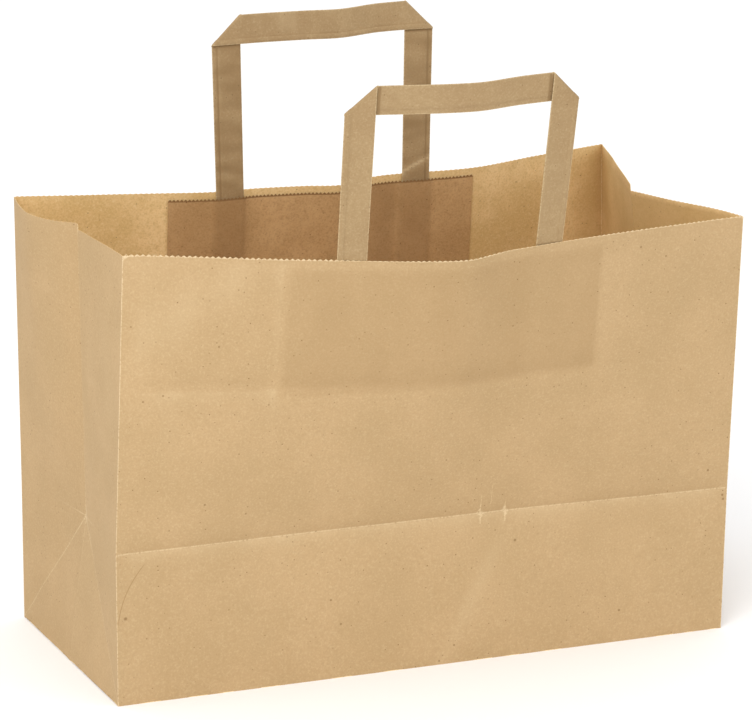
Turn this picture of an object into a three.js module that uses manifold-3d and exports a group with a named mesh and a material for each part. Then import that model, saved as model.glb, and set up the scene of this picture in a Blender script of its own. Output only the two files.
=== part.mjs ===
// A flat-handled carrier bag of brown kraft paper, standing open.
//
// One sheet is folded into a tube with a gusset at each side and a block bottom. Two flat paper
// handles are folded to an arch, and each is glued to its panel under a reinforcing patch.
// The bag is described on the flat sheet first, by a distance along the sheet and a height up it,
// and the folds and the lean of the open mouth then carry those places into space.
//
// Units are millimetres and +Z is up. The origin is on the floor, in the middle of the base.

import * as THREE from 'three';
import { mergeVertices } from 'three/addons/utils/BufferGeometryUtils.js';
import Module from 'manifold-3d';

const wasm = await Module();
wasm.setup();

// The bag sheet
const bagWidth = 361;
const bagDepth = 166;
const frontHeight = 250;
const rearLip = 3.5;
const paper = 0.25;
const gussetTuck = 4;
const creaseWidth = 0.6;
const flapOverlap = 24;

// The glued seam up the rear panel, beside its right corner
const seamLap = 20;
const seamSetback = 3;
const plyStep = 0.3;

// The knife-cut edges
const mouthToothPitch = 3;
const mouthToothDepth = 1;
const patchToothPitch = 2.2;
const patchToothDepth = 0.8;

// Handles and patches
const handleWidth = 16.5;
const handleThickness = 0.9;
const handleRise = 99;
const handleSplay = 1.8;
const gripBow = 0.5;
const legTail = 67;
const patchWidth = 185;
const patchHeight = 75;
const patchDrop = 6;
const patchRamp = 3;
const glueGap = 0.3;
const frontHandle = { shift: -0.8, spacing: 117, tilt: 11 };
const rearHandle = { shift: 2.2, spacing: 114, tilt: 0 };

// How far each fold has moved at the mouth, sideways and back, from straight above the base
const mouthShift = {
  frontLeft: [8, 5],
  frontRight: [-5, -28],
  rightCrease: [-33, -24],
  rearRight: [-10, -18],
  rearLeft: [-7, -19],
  leftCrease: [5, -12],
};

// How far each stretch of the mouth bulges outward from the line between its folds, as pairs of
// a share of its length and a distance
const frontBulge = [[0, 0], [0.11, 14], [0.23, 25], [0.35, 31.5], [0.51, 36.5], [0.6, 26.5], [0.76, 15], [1, 0]];
const rightFrontBulge = [[0, 0], [0.2, -3.5], [0.6, 2], [1, 0]];
const rearBulge = [[0, 0], [0.13, -9], [0.25, -17.3], [0.41, -17], [0.49, -25], [0.7, -18], [0.87, -8.3], [1, 0]];
const leftRearBulge = [[0, 0], [0.25, 6.5], [0.5, 10.5], [0.8, 7.5], [1, 0]];
const flat = [[0, 0], [1, 0]];

// The widest facet used where the sheet bends
const facet = 18;

const foldHeight = bagDepth / 2;
const toRadians = THREE.MathUtils.degToRad;

// Rows of the lattice, from the base to the tips of the mouth's teeth
const rowNames = [
  'base', 'diagonal', 'fold', 'waist', 'patchFoot', 'legEnd', 'patchMiddle', 'patchHead', 'mouth', 'tips',
];
const ROW = Object.fromEntries(rowNames.map((name, index) => [name, index]));

// Row heights up the sheet, the upper ones measured down from the cut of the mouth
function rowHeights(cut, diagonal) {
  const patchHead = cut - patchDrop;
  const patchFoot = patchHead - patchHeight;
  const legEnd = patchHead - legTail;
  const waist = (foldHeight + patchFoot) / 2;
  const patchMiddle = (legEnd + patchHead) / 2;
  const mouth = cut - mouthToothDepth;
  return [0, diagonal, foldHeight, waist, patchFoot, legEnd, patchMiddle, patchHead, mouth, cut];
}

// A smooth curve through pairs of a share and a value
function smooth(knots, share) {
  let k = 0;
  while (k < knots.length - 2 && share > knots[k + 1][0]) {
    k += 1;
  }
  const slope = (a, b) => (knots[b][1] - knots[a][1]) / (knots[b][0] - knots[a][0]);
  const [from, to] = [knots[k], knots[k + 1]];
  const before = slope(Math.max(k - 1, 0), k + 1);
  const after = slope(k, Math.min(k + 2, knots.length - 1));
  const span = to[0] - from[0];
  const t = (share - from[0]) / span;
  const [t2, t3] = [t * t, t * t * t];
  return (2 * t3 - 3 * t2 + 1) * from[1] + (t3 - 2 * t2 + t) * span * before
    + (3 * t2 - 2 * t3) * to[1] + (t3 - t2) * span * after;
}

// The stretches of wall between folds, in order round the bag, seen from above and to the left
const [halfWidth, halfDepth] = [bagWidth / 2, bagDepth / 2];
const baseCorner = {
  frontLeft: [-halfWidth, -halfDepth],
  frontRight: [halfWidth, -halfDepth],
  rightCrease: [halfWidth, 0],
  rearRight: [halfWidth, halfDepth],
  rearLeft: [-halfWidth, halfDepth],
  leftCrease: [-halfWidth, 0],
};
const rearHeight = frontHeight + rearLip;
const handleStations = (handle) => [-1, 1].flatMap((side) => {
  const leg = handle.shift + side * handle.spacing / 2;
  const reach = handleWidth / 2;
  return [handle.shift + side * patchWidth / 2, leg - reach - patchRamp, leg - reach, leg + reach, leg + reach + patchRamp];
});
const seamStations = [plyStep, seamSetback, seamSetback + plyStep, seamLap, seamLap + plyStep].map((s) => s - halfWidth);
const stretches = [
  { name: 'front', from: 'frontLeft', to: 'frontRight', length: bagWidth, cut: frontHeight, bulge: frontBulge,
    stations: handleStations(frontHandle) },
  { name: 'rightFront', from: 'frontRight', to: 'rightCrease', length: halfDepth, cut: frontHeight,
    bulge: rightFrontBulge, stations: [] },
  { name: 'rightRear', from: 'rightCrease', to: 'rearRight', length: halfDepth, cut: rearHeight, bulge: flat,
    stations: [] },
  { name: 'rear', from: 'rearRight', to: 'rearLeft', length: bagWidth, cut: rearHeight, bulge: rearBulge,
    stations: [...seamStations, ...handleStations(rearHandle)] },
  { name: 'leftRear', from: 'rearLeft', to: 'leftCrease', length: halfDepth, cut: rearHeight, bulge: leftRearBulge,
    stations: [] },
  { name: 'leftFront', from: 'leftCrease', to: 'frontLeft', length: halfDepth, cut: frontHeight, bulge: flat,
    stations: [] },
];

// Splits a stretch at its own stations, and again wherever a facet would be too wide
function splitStretch(stretch) {
  const half = stretch.length / 2;
  const atCrease = (name) => (name.endsWith('Crease') ? creaseWidth / 2 : 0);
  const fixed = [-half + atCrease(stretch.from), ...stretch.stations, half - atCrease(stretch.to)].sort((a, b) => a - b);
  const places = [fixed[0]];
  for (let k = 1; k < fixed.length; k += 1) {
    const steps = Math.max(1, Math.ceil((fixed[k] - fixed[k - 1]) / facet));
    for (let step = 1; step <= steps; step += 1) {
      places.push(THREE.MathUtils.lerp(fixed[k - 1], fixed[k], step / steps));
    }
  }
  return places;
}

// Heights of one column's rows. The rear half of a gusset meets the front half row by row at its
// crease, apart from the mouth, which is cut higher at the rear.
function columnHeights(stretch, toCrease) {
  const gusset = stretch.length === halfDepth;
  const heights = rowHeights(stretch.cut, gusset ? halfDepth - toCrease : 0);
  if (gusset && stretch.cut === rearHeight) {
    const share = 1 - toCrease / halfDepth;
    for (let row = ROW.waist; row <= ROW.patchHead; row += 1) {
      heights[row] -= rearLip * share;
    }
  }
  return heights;
}

// Carries a place on the sheet into space
function wallPoint(stretch, along, height, toCrease) {
  const share = along / stretch.length + 0.5;
  const from = new THREE.Vector2(...baseCorner[stretch.from]);
  const to = new THREE.Vector2(...baseCorner[stretch.to]);
  const place = from.clone().lerp(to, share);
  const gusset = stretch.length === halfDepth;
  if (gusset) {
    const depthIn = Math.min(height, foldHeight, halfDepth - toCrease) * gussetTuck / foldHeight;
    place.x -= Math.sign(place.x) * depthIn;
  }
  if (height <= foldHeight) {
    return new THREE.Vector3(place.x, place.y, height);
  }
  const mouthFrom = from.add(new THREE.Vector2(...mouthShift[stretch.from]));
  const mouthTo = to.add(new THREE.Vector2(...mouthShift[stretch.to]));
  const chord = mouthTo.clone().sub(mouthFrom).normalize();
  const mouth = mouthFrom.lerp(mouthTo, share);
  mouth.addScaledVector(new THREE.Vector2(chord.y, -chord.x), smooth(stretch.bulge, share));
  const lean = mouth.sub(place);
  const upper = stretch.cut - foldHeight;
  const climb = (height - foldHeight) / upper;
  const rise = Math.sqrt(upper * upper - lean.lengthSq());
  return new THREE.Vector3(place.x + lean.x * climb, place.y + lean.y * climb, foldHeight + rise * climb);
}

// The lattice: one column for each fold line of the facets, and one row for each height above
const columns = stretches.flatMap((stretch) => {
  const places = splitStretch(stretch);
  const atCrease = stretch.to.endsWith('Crease');
  const kept = atCrease ? places : places.slice(0, -1);
  return kept.map((along) => {
    const half = stretch.length / 2;
    const toCrease = stretch.to.endsWith('Crease') ? half - along : half + along;
    const heights = columnHeights(stretch, toCrease);
    return { stretch: stretch.name, along, points: heights.map((height) => wallPoint(stretch, along, height, toCrease)) };
  });
});

// The inward direction at each point of a row, long enough to keep a sheet's thickness at a fold
function inwardAt(row, index) {
  const count = columns.length;
  const at = (k) => columns[(k + count) % count].points[row];
  const side = (a, b) => new THREE.Vector2(a.y - b.y, b.x - a.x).normalize();
  const one = side(at(index - 1), at(index));
  const two = side(at(index), at(index + 1));
  const sum = one.clone().add(two).divideScalar(1 + one.dot(two));
  return new THREE.Vector3(sum.x, sum.y, 0);
}
columns.forEach((column, index) => {
  column.inward = column.points.map((point, row) => inwardAt(row, index));
});
const layered = (column, row, depth) => column.points[row].clone().addScaledVector(column.inward[row], depth);

// Collects the triangles of one closed body, with its shared corners merged
class Body {
  constructor() {
    this.places = [];
    this.faces = [];
    this.index = new Map();
  }

  corner(point) {
    const place = [point.x, point.y, point.z].map((value) => Number(value.toFixed(4)) + 0);
    const key = place.join();
    if (!this.index.has(key)) {
      this.index.set(key, this.places.length);
      this.places.push(place);
    }
    return this.index.get(key);
  }

  triangle(a, b, c) {
    const face = [a, b, c].map((point) => this.corner(point));
    if (new Set(face).size === 3) {
      this.faces.push(face);
    }
  }

  // A wall panel between two columns. Every sheet glued to another is split along the same
  // diagonal, from its lower right to its upper left corner, so that the gap stays even.
  // An edge is a list of points, longer than two where the edge is toothed.
  panel(lower, upper, isInner) {
    const [left, right] = [upper[0], lower[lower.length - 1]];
    const add = (a, b, c) => (isInner ? this.triangle(c, b, a) : this.triangle(a, b, c));
    for (let k = 0; k < lower.length - 1; k += 1) {
      add(lower[k], lower[k + 1], left);
    }
    for (let k = 0; k < upper.length - 1; k += 1) {
      add(right, upper[k + 1], upper[k]);
    }
  }

  quad(a, b, c, d) {
    this.triangle(a, b, c);
    this.triangle(a, c, d);
  }

  geometry() {
    const geometry = new THREE.BufferGeometry();
    geometry.setAttribute('position', new THREE.BufferAttribute(new Float32Array(this.places.flat()), 3));
    geometry.setIndex(this.faces.flat());
    return geometry;
  }
}

// How many teeth fit along the valleys' line
const toothCount = (valleys, pitch) => Math.round(valleys[0].distanceTo(valleys[1]) / pitch);

// Splits an edge into the valleys and tips of its teeth. An edge too short for a tooth stays whole.
function teeth(valleys, tips, count) {
  const [from, to] = valleys;
  const line = [from.clone()];
  const points = [];
  for (let k = 0; k < count; k += 1) {
    points.push(tips[0].clone().lerp(tips[1], (k + 0.5) / count));
    line.push(from.clone().lerp(to, (k + 1) / count));
  }
  if (count === 0) {
    line.push(to.clone());
  }
  return { line, points };
}

// A sheet of paper on the lattice. Each layer is a list of rows, and each row a list of points:
// the first and the last row are the tips of the teeth where that edge is toothed.
function sheetBody({ outer, inner, pitch, toothedFoot, closed }) {
  const body = new Body();
  const count = outer[0].length;
  const spans = closed ? count : count - 1;
  const low = toothedFoot ? 1 : 0;
  const high = outer.length - 2;
  const next = (k) => (k + 1) % count;
  for (let k = 0; k < spans; k += 1) {
    const at = (layer, row) => [layer[row][k], layer[row][next(k)]];
    const headCount = toothCount(at(outer, high), pitch);
    const footCount = toothedFoot ? toothCount(at(outer, low), pitch) : 0;
    const [headOut, headIn] = [outer, inner].map((layer) => teeth(at(layer, high), at(layer, high + 1), headCount));
    const [footOut, footIn] = [outer, inner].map((layer) => teeth(at(layer, low), at(layer, 0), footCount));
    for (let row = low; row < high; row += 1) {
      const lower = row === low ? [footOut.line, footIn.line] : [at(outer, row), at(inner, row)];
      const upper = row === high - 1 ? [headOut.line, headIn.line] : [at(outer, row + 1), at(inner, row + 1)];
      body.panel(lower[0], upper[0], false);
      body.panel(lower[1], upper[1], true);
    }
    edgeTeeth(body, headOut, headIn, false);
    edgeTeeth(body, footOut, footIn, true);
  }
  if (!closed) {
    for (let row = low; row < high; row += 1) {
      const [first, last] = [0, count - 1];
      body.quad(inner[row][first], outer[row][first], outer[row + 1][first], inner[row + 1][first]);
      body.quad(outer[row][last], inner[row][last], inner[row + 1][last], outer[row + 1][last]);
    }
  }
  return body;
}

// The teeth themselves, and the cut edge between the sheet's two faces
function edgeTeeth(body, out, inside, isFoot) {
  const add = (a, b, c) => (isFoot ? body.triangle(c, b, a) : body.triangle(a, b, c));
  const addQuad = (a, b, c, d) => {
    add(a, b, c);
    add(a, c, d);
  };
  for (let k = 0; k < out.line.length - 1; k += 1) {
    const [a, b] = [out.line[k], out.line[k + 1]];
    const [c, d] = [inside.line[k], inside.line[k + 1]];
    if (out.points.length === 0) {
      addQuad(a, b, d, c);
    } else {
      const [tip, innerTip] = [out.points[k], inside.points[k]];
      add(a, b, tip);
      add(d, c, innerTip);
      addQuad(a, tip, innerTip, c);
      addQuad(tip, b, d, innerTip);
    }
  }
}

// The tube of the bag: two plies where the glued seam overlaps, and one ply elsewhere
function tubeLayers() {
  const inSeam = (column, from, to) => {
    const place = column.along + halfWidth;
    return column.stretch === 'rear' && place > from - plyStep / 2 && place < to + plyStep / 2;
  };
  const outerDepth = (column) => (inSeam(column, plyStep, seamSetback) ? paper : 0);
  const innerDepth = (column) => (inSeam(column, plyStep, seamLap) ? 2 * paper : paper);
  const rows = columns[0].points.map((point, row) => row);
  const layer = (depth) => rows.map((row) => columns.map((column) => layered(column, row, depth(column))));
  return { outer: layer(outerDepth), inner: layer(innerDepth), pitch: mouthToothPitch, toothedFoot: false, closed: true };
}

// A closed mesh as a solid for joining and cutting
function toSolid(geometry) {
  const plain = geometry.clone();
  plain.deleteAttribute('normal');
  plain.deleteAttribute('uv');
  const merged = mergeVertices(plain, 1e-3);
  const triVerts = Uint32Array.from(merged.index.array);
  const vertProperties = Float32Array.from(merged.attributes.position.array);
  return new wasm.Manifold(new wasm.Mesh({ numProp: 3, vertProperties, triVerts }));
}

function fromSolid(solid) {
  const mesh = solid.getMesh();
  const body = new Body();
  const corner = (k) => new THREE.Vector3().fromArray(mesh.vertProperties, k * mesh.numProp);
  for (let k = 0; k < mesh.triVerts.length; k += 3) {
    body.triangle(...[0, 1, 2].map((step) => corner(mesh.triVerts[k + step])));
  }
  return body.geometry();
}

// A flat plate from a list of corners, between two heights
function plate(corners, bottom, top) {
  const shape = new THREE.Shape(corners.map(([x, y]) => new THREE.Vector2(x, y)));
  const geometry = new THREE.ExtrudeGeometry(shape, { depth: top - bottom, bevelEnabled: false });
  geometry.translate(0, 0, bottom);
  return toSolid(geometry);
}

// The block bottom. The front flap is the lowest ply, the rear flap tucks in above it, and the two
// end flaps lie over both, so each shows as a step of one ply above or below.
function cutBase(tube) {
  const margin = 1;
  const half = flapOverlap / 2;
  const flapReach = halfDepth + half;
  const endX = halfWidth - flapReach;
  const shrink = paper / 2;
  const floor = plate([
    [-halfWidth + shrink, -halfDepth + shrink],
    [halfWidth - shrink, -halfDepth + shrink],
    [halfWidth - shrink, halfDepth - shrink],
    [-halfWidth + shrink, halfDepth - shrink],
  ], 0, 3 * paper);
  const rearFlap = plate([
    [-halfWidth - margin, halfDepth + margin],
    [-halfWidth + halfDepth - half, half],
    [halfWidth - halfDepth + half, half],
    [halfWidth + margin, halfDepth + margin],
  ], -margin, paper);
  const endFlap = (side) => plate([
    [side * (halfWidth + margin), -halfDepth - margin],
    [side * (halfWidth + margin), halfDepth + margin],
    [side * (halfWidth - halfDepth + half), half],
    [side * endX, half],
  ].slice().reverse(), -margin, 2 * paper);
  const inside = halfDepth - 2 * paper;
  const overMiddle = plate([[-endX, -inside], [endX, -inside], [endX, inside], [-endX, inside]], 2 * paper, 3 * paper + margin);
  const overFront = plate([[-endX, -inside], [endX, -inside], [endX, -half], [-endX, -half]], paper, 3 * paper + margin);
  return [rearFlap, endFlap(-1), endFlap(1), overMiddle, overFront].reduce((solid, cut) => solid.subtract(cut), tube.add(floor));
}

// The columns of a panel between two places along it
function columnsBetween(name, from, to) {
  const near = 1e-6;
  return columns.filter((column) => column.stretch === name && column.along > from - near && column.along < to + near);
}

// A reinforcing patch, glued to the wall and lifted where it passes over the handle's legs
function patchBody(name, handle) {
  const span = columnsBetween(name, handle.shift - patchWidth / 2, handle.shift + patchWidth / 2);
  const wallSide = paper + glueGap;
  const lift = handleThickness + glueGap;
  const overLeg = (column) => [-1, 1].some((side) => {
    const offset = Math.abs(column.along - handle.shift - side * handle.spacing / 2);
    return offset < handleWidth / 2 + patchRamp / 2;
  });
  const depthAt = (column, row) => wallSide + (overLeg(column) && row >= ROW.legEnd ? lift : 0);
  const shifted = (column, row, depth, drop) => {
    const place = layered(column, row, depth);
    const climb = column.points[ROW.patchHead].clone().sub(column.points[ROW.patchFoot]).normalize();
    return place.addScaledVector(climb, drop);
  };
  const glued = [ROW.patchFoot, ROW.legEnd, ROW.patchMiddle, ROW.patchHead];
  const layer = (extra) => [
    span.map((column) => shifted(column, ROW.patchFoot, depthAt(column, ROW.patchFoot) + extra, -patchToothDepth)),
    ...glued.map((row) => span.map((column) => layered(column, row, depthAt(column, row) + extra))),
    span.map((column) => shifted(column, ROW.patchHead, depthAt(column, ROW.patchHead) + extra, patchToothDepth)),
  ];
  return sheetBody({ outer: layer(0), inner: layer(paper), pitch: patchToothPitch, toothedFoot: true, closed: false });
}

// A folded strip: each row gives its two edges and the direction through its thickness
function stripBody(rows) {
  const body = new Body();
  const reach = handleThickness / 2;
  const rings = rows.map(({ edges, through }) => {
    const [a, b] = edges;
    const lift = through.clone().multiplyScalar(reach);
    return [a.clone().sub(lift), b.clone().sub(lift), b.clone().add(lift), a.clone().add(lift)];
  });
  for (let k = 0; k < rings.length - 1; k += 1) {
    const [here, next] = [rings[k], rings[k + 1]];
    body.quad(here[1], next[1], next[0], here[0]);
    body.quad(here[1], here[2], next[2], next[1]);
    body.quad(here[2], here[3], next[3], next[2]);
    body.quad(here[3], here[0], next[0], next[3]);
  }
  const [first, last] = [rings[0], rings[rings.length - 1]];
  body.quad(first[3], first[2], first[1], first[0]);
  body.quad(last[0], last[1], last[2], last[3]);
  return body;
}

// A handle: one flat strip, folded over at 45 degrees at each shoulder. Its legs pass down behind
// the patch, and its grip crosses on the bag's inner side.
function handleBody(name, handle) {
  const tips = columns.filter((column) => column.stretch === name);
  const tilt = toRadians(handle.tilt);
  const outward = name === 'front' ? -1 : 1;
  const up = new THREE.Vector3(0, outward * Math.sin(tilt), Math.cos(tilt));
  const legDepth = paper + glueGap + handleThickness / 2;
  const foldRadius = (handleThickness + glueGap) / 2;
  const gripDepth = legDepth + 2 * foldRadius;

  const reach = handleWidth / 2;
  const foot = handleRise - handleWidth;
  const leg = (side) => handle.shift + side * handle.spacing / 2;
  const [spanFrom, spanTo] = [leg(-1) + reach, leg(1) - reach];

  // A place on the mouth's line and the inward direction there
  const onMouth = (along) => {
    let k = 1;
    while (k < tips.length - 1 && tips[k].along < along) {
      k += 1;
    }
    const [from, to] = [tips[k - 1], tips[k]];
    const share = (along - from.along) / (to.along - from.along);
    return {
      point: from.points[ROW.tips].clone().lerp(to.points[ROW.tips], share),
      inward: from.inward[ROW.tips].clone().lerp(to.inward[ROW.tips], share),
    };
  };

  // A place above the mouth, by distance along it, height above it and depth inward. Between its
  // legs the strip is straighter than the mouth.
  const above = (along, rise, depth) => {
    const spread = handleSplay * (along - handle.shift) / (handle.spacing / 2) * (rise / handleRise);
    const { point, inward } = onMouth(along + spread);
    if (along > spanFrom && along < spanTo) {
      const [one, two] = [spanFrom, spanTo].map((end) => onMouth(end));
      const share = (along - spanFrom) / (spanTo - spanFrom);
      point.lerp(one.point.lerp(two.point, share), 1 - gripBow);
      inward.lerp(one.inward.lerp(two.inward, share), 1 - gripBow);
    }
    return { point: point.addScaledVector(inward, depth).addScaledVector(up, rise), inward };
  };

  // One row of the strip above the mouth. An edge is a distance along and a rise.
  const rowAt = (a, b, depth, turn, push) => {
    const [one, two] = [a, b].map(([along, rise]) => above(along, rise, depth));
    const inward = one.inward.clone().add(two.inward).normalize();
    const through = inward.multiplyScalar(Math.cos(turn)).addScaledVector(push, -Math.sin(turn)).normalize();
    return { edges: [one.point, two.point], through };
  };

  // The leg below the mouth lies on the lattice
  const legRows = (side) => {
    const pair = columnsBetween(name, leg(side) - reach, leg(side) + reach);
    return [ROW.legEnd, ROW.patchMiddle, ROW.patchHead].map((row) => {
      const edges = [pair[0], pair[pair.length - 1]].map((column) => layered(column, row, legDepth));
      const through = pair[0].inward[row].clone().add(pair[pair.length - 1].inward[row]).normalize();
      return { edges, through };
    });
  };

  // The shoulder turns over about a line at 45 degrees
  const foldSteps = 4;
  const shoulder = (side) => {
    const [inner, outer] = [[leg(side) - side * reach, handleRise], [leg(side) + side * reach, foot]];
    const origin = above(...inner, 0).point;
    const along = above(...outer, 0).point.sub(origin).normalize();
    const face = above(...inner, 0).inward.clone().normalize();
    const away = along.clone().cross(face).normalize().multiplyScalar(side);
    const rows = [];
    for (let step = 0; step <= foldSteps; step += 1) {
      const turn = Math.PI * step / foldSteps;
      const depth = legDepth + foldRadius * (1 - Math.cos(turn));
      const edges = side < 0 ? [outer, inner] : [inner, outer];
      const row = rowAt(...edges, depth, turn, away);
      row.edges.forEach((edge) => edge.addScaledVector(away, foldRadius * Math.sin(turn)));
      rows.push(row);
    }
    return rows;
  };

  // The grip runs from shoulder to shoulder on the inner side
  const gripRows = tips
    .map((column) => column.along)
    .filter((along) => Math.abs(along - handle.shift) < handle.spacing / 2 - reach - patchRamp / 2)
    .map((along) => rowAt([along, foot], [along, handleRise], gripDepth, Math.PI, up));

  const left = [...legRows(-1), rowAt([leg(-1) - reach, 0], [leg(-1) + reach, 0], legDepth, 0, up), ...shoulder(-1)];
  const right = [...legRows(1), rowAt([leg(1) - reach, 0], [leg(1) + reach, 0], legDepth, 0, up), ...shoulder(1)];
  const swapped = right.reverse().map(({ edges, through }) => ({ edges: [edges[1], edges[0]], through }));
  return stripBody([...left, ...gripRows, ...swapped]);
}

const kraft = new THREE.MeshStandardMaterial({ color: 0xd1b082, roughness: 0.92, metalness: 0 });
const handleKraft = new THREE.MeshStandardMaterial({ color: 0xb79a70, roughness: 0.9, metalness: 0 });
const patchKraft = new THREE.MeshStandardMaterial({ color: 0xaa8156, roughness: 0.92, metalness: 0 });

function part(name, geometry, material) {
  geometry.computeVertexNormals();
  const mesh = new THREE.Mesh(geometry, material.clone());
  mesh.name = name;
  return mesh;
}

const bag = new THREE.Group();
bag.add(part('bag_body', fromSolid(cutBase(toSolid(sheetBody(tubeLayers()).geometry()))), kraft));
bag.add(part('front_handle', handleBody('front', frontHandle).geometry(), handleKraft));
bag.add(part('rear_handle', handleBody('rear', rearHandle).geometry(), handleKraft));
bag.add(part('front_patch', patchBody('front', frontHandle).geometry(), patchKraft));
bag.add(part('rear_patch', patchBody('rear', rearHandle).geometry(), patchKraft));

export default bag;
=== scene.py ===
import math

import bpy
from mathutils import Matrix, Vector, noise


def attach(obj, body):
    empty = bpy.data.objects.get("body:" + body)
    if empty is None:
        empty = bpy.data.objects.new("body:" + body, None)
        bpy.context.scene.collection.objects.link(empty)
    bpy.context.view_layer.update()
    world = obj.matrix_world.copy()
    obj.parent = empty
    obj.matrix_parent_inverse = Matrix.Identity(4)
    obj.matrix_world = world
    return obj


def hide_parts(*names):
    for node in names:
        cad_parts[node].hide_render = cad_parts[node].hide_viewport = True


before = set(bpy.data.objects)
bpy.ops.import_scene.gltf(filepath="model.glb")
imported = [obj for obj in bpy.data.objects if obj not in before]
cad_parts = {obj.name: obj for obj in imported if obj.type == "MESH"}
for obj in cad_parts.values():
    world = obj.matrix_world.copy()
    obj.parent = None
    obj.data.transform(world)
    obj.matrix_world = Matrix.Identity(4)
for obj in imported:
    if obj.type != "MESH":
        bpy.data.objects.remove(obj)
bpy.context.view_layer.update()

# The camera stands about two and a half metres off with a long lens, a little above the mouth and
# to the left of the front panel. Its place comes from fitting the base and folds to the photograph.
view_azimuth = math.radians(-21.84)
view_elevation = math.radians(15.17)
view_distance = 2.632
view_target = Vector((0.0029, 0.0, 0.1546))
sensor_width = 36.0
image_width = 752
focal_length_pixels = 4688

camera_data = bpy.data.cameras.new("camera")
camera_data.sensor_width = sensor_width
camera_data.sensor_fit = "HORIZONTAL"
camera_data.lens = focal_length_pixels * sensor_width / image_width
camera = bpy.data.objects.new("camera", camera_data)
bpy.context.scene.collection.objects.link(camera)
to_camera = Vector((
    math.sin(view_azimuth) * math.cos(view_elevation),
    -math.cos(view_azimuth) * math.cos(view_elevation),
    math.sin(view_elevation),
))
camera.location = view_target + to_camera * view_distance
camera.rotation_euler = to_camera.to_track_quat("Z", "Y").to_euler()
bpy.context.scene.camera = camera


# The form of the bag: one sheet of brown kraft, wound to a tube with a gusset at each side. Below
# the fold its walls stand nearly upright, and above it they lean to a mouth that has set unevenly.
# A place on the sheet is a distance along a stretch of wall, from its middle, and a height up it.
bag_width = 0.361
bag_depth = 0.166
front_height = 0.250
rear_height = 0.2535
half_width = bag_width / 2
half_depth = bag_depth / 2
fold_height = half_depth
paper = 0.00025
# How far the middle of each gusset is tucked in at the fold
gusset_tuck = {"left": 0.011, "right": 0.004}
# How much higher the fold was pressed at the left end of the front panel
crease_rise = 0.0023
crease_width = 0.0006
tiny = 1e-6
tooth_pitch = 0.003
tooth_depth = 0.001
cut_light = 0.8
# How much of the tooth depth the knife left along the front panel, and along the other walls
front_bite = [
    (0, 1), (0.31, 1), (0.35, 0.35), (0.41, 0.4), (0.45, 0.75), (0.55, 0.7), (0.6, 0.3), (0.72, 0.3),
    (0.78, 0.6), (1, 0.6),
]
worn_bite = 0.35

base_corner = {
    "front_left": (-half_width, -half_depth),
    "front_right": (half_width, -half_depth),
    "right_crease": (half_width, 0.0),
    "rear_right": (half_width, half_depth),
    "rear_left": (-half_width, half_depth),
    "left_crease": (-half_width, 0.0),
}
# How far each fold has moved at the mouth
mouth_shift = {
    "front_left": (0.008, 0.005),
    "front_right": (-0.005, -0.028),
    "right_crease": (-0.033, -0.024),
    "rear_right": (-0.010, -0.018),
    "rear_left": (-0.007, -0.019),
    "left_crease": (0.005, -0.012),
}
# How far a corner leans out at the height of the fold
fold_bow = {"front_right": (0.0022, 0.0)}
# The bulge of each stretch of the mouth, as pairs of a share of its length and a distance outward
flat = [(0, 0), (1, 0)]
front_bulge = [
    (0, 0), (0.11, 0.014), (0.23, 0.025), (0.35, 0.0315),
    (0.51, 0.0365), (0.6, 0.0265), (0.76, 0.015), (1, 0),
]
right_front_bulge = [(0, 0), (0.2, 0.0005), (0.6, -0.001), (1, 0)]
rear_bulge = [
    (0, 0), (0.13, -0.009), (0.25, -0.0173), (0.41, -0.017),
    (0.48, -0.0238), (0.54, -0.021), (0.62, -0.0185), (0.7, -0.018), (0.87, -0.0083), (1, 0),
]
left_rear_bulge = [(0, 0), (0.25, 0.0065), (0.5, 0.0105), (0.8, 0.0075), (1, 0)]


class Stretch:
    """A stretch of wall between two folds, in order round the bag, seen from above and to the left."""

    def __init__(self, name, start, end, length, cut, bulge):
        self.name, self.start, self.end = name, start, end
        self.length, self.cut, self.bulge = length, cut, bulge
        self.is_gusset = length < bag_width
        self.starts_at_crease = start.endswith("crease")
        self.ends_at_crease = end.endswith("crease")

    def from_crease(self, along):
        return self.length / 2 - along if self.ends_at_crease else self.length / 2 + along


front = Stretch("front", "front_left", "front_right", bag_width, front_height, front_bulge)
right_front = Stretch(
    "right_front", "front_right", "right_crease", half_depth, front_height, right_front_bulge,
)
right_rear = Stretch("right_rear", "right_crease", "rear_right", half_depth, rear_height, flat)
rear = Stretch("rear", "rear_right", "rear_left", bag_width, rear_height, rear_bulge)
left_rear = Stretch("left_rear", "rear_left", "left_crease", half_depth, rear_height, left_rear_bulge)
left_front = Stretch("left_front", "left_crease", "front_left", half_depth, front_height, flat)


def smooth_curve(knots, share):
    """A smooth curve through pairs of a share and a value."""
    k = 0
    while k < len(knots) - 2 and share > knots[k + 1][0]:
        k += 1
    (x0, y0), (x1, y1) = knots[k], knots[k + 1]
    (xa, ya), (xb, yb) = knots[max(k - 1, 0)], knots[min(k + 2, len(knots) - 1)]
    before = (y1 - ya) / (x1 - xa) * (x1 - x0)
    after = (yb - y0) / (xb - x0) * (x1 - x0)
    t = (share - x0) / (x1 - x0)
    start_part = (2 * t**3 - 3 * t**2 + 1) * y0 + (t**3 - 2 * t**2 + t) * before
    end_part = (3 * t**2 - 2 * t**3) * y1 + (t**3 - t**2) * after
    return start_part + end_part


def fade(value, start, end):
    """Rises smoothly from nought at one value to one at another."""
    t = min(max((value - start) / (end - start), 0), 1)
    return t * t * (3 - 2 * t)


def crease_height(stretch, along):
    """The height of the fold: the left end of the front panel's was pressed a little higher."""
    return fold_height + (crease_rise * (1 - fade(along, 0, half_width)) if stretch is front else 0)


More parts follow.
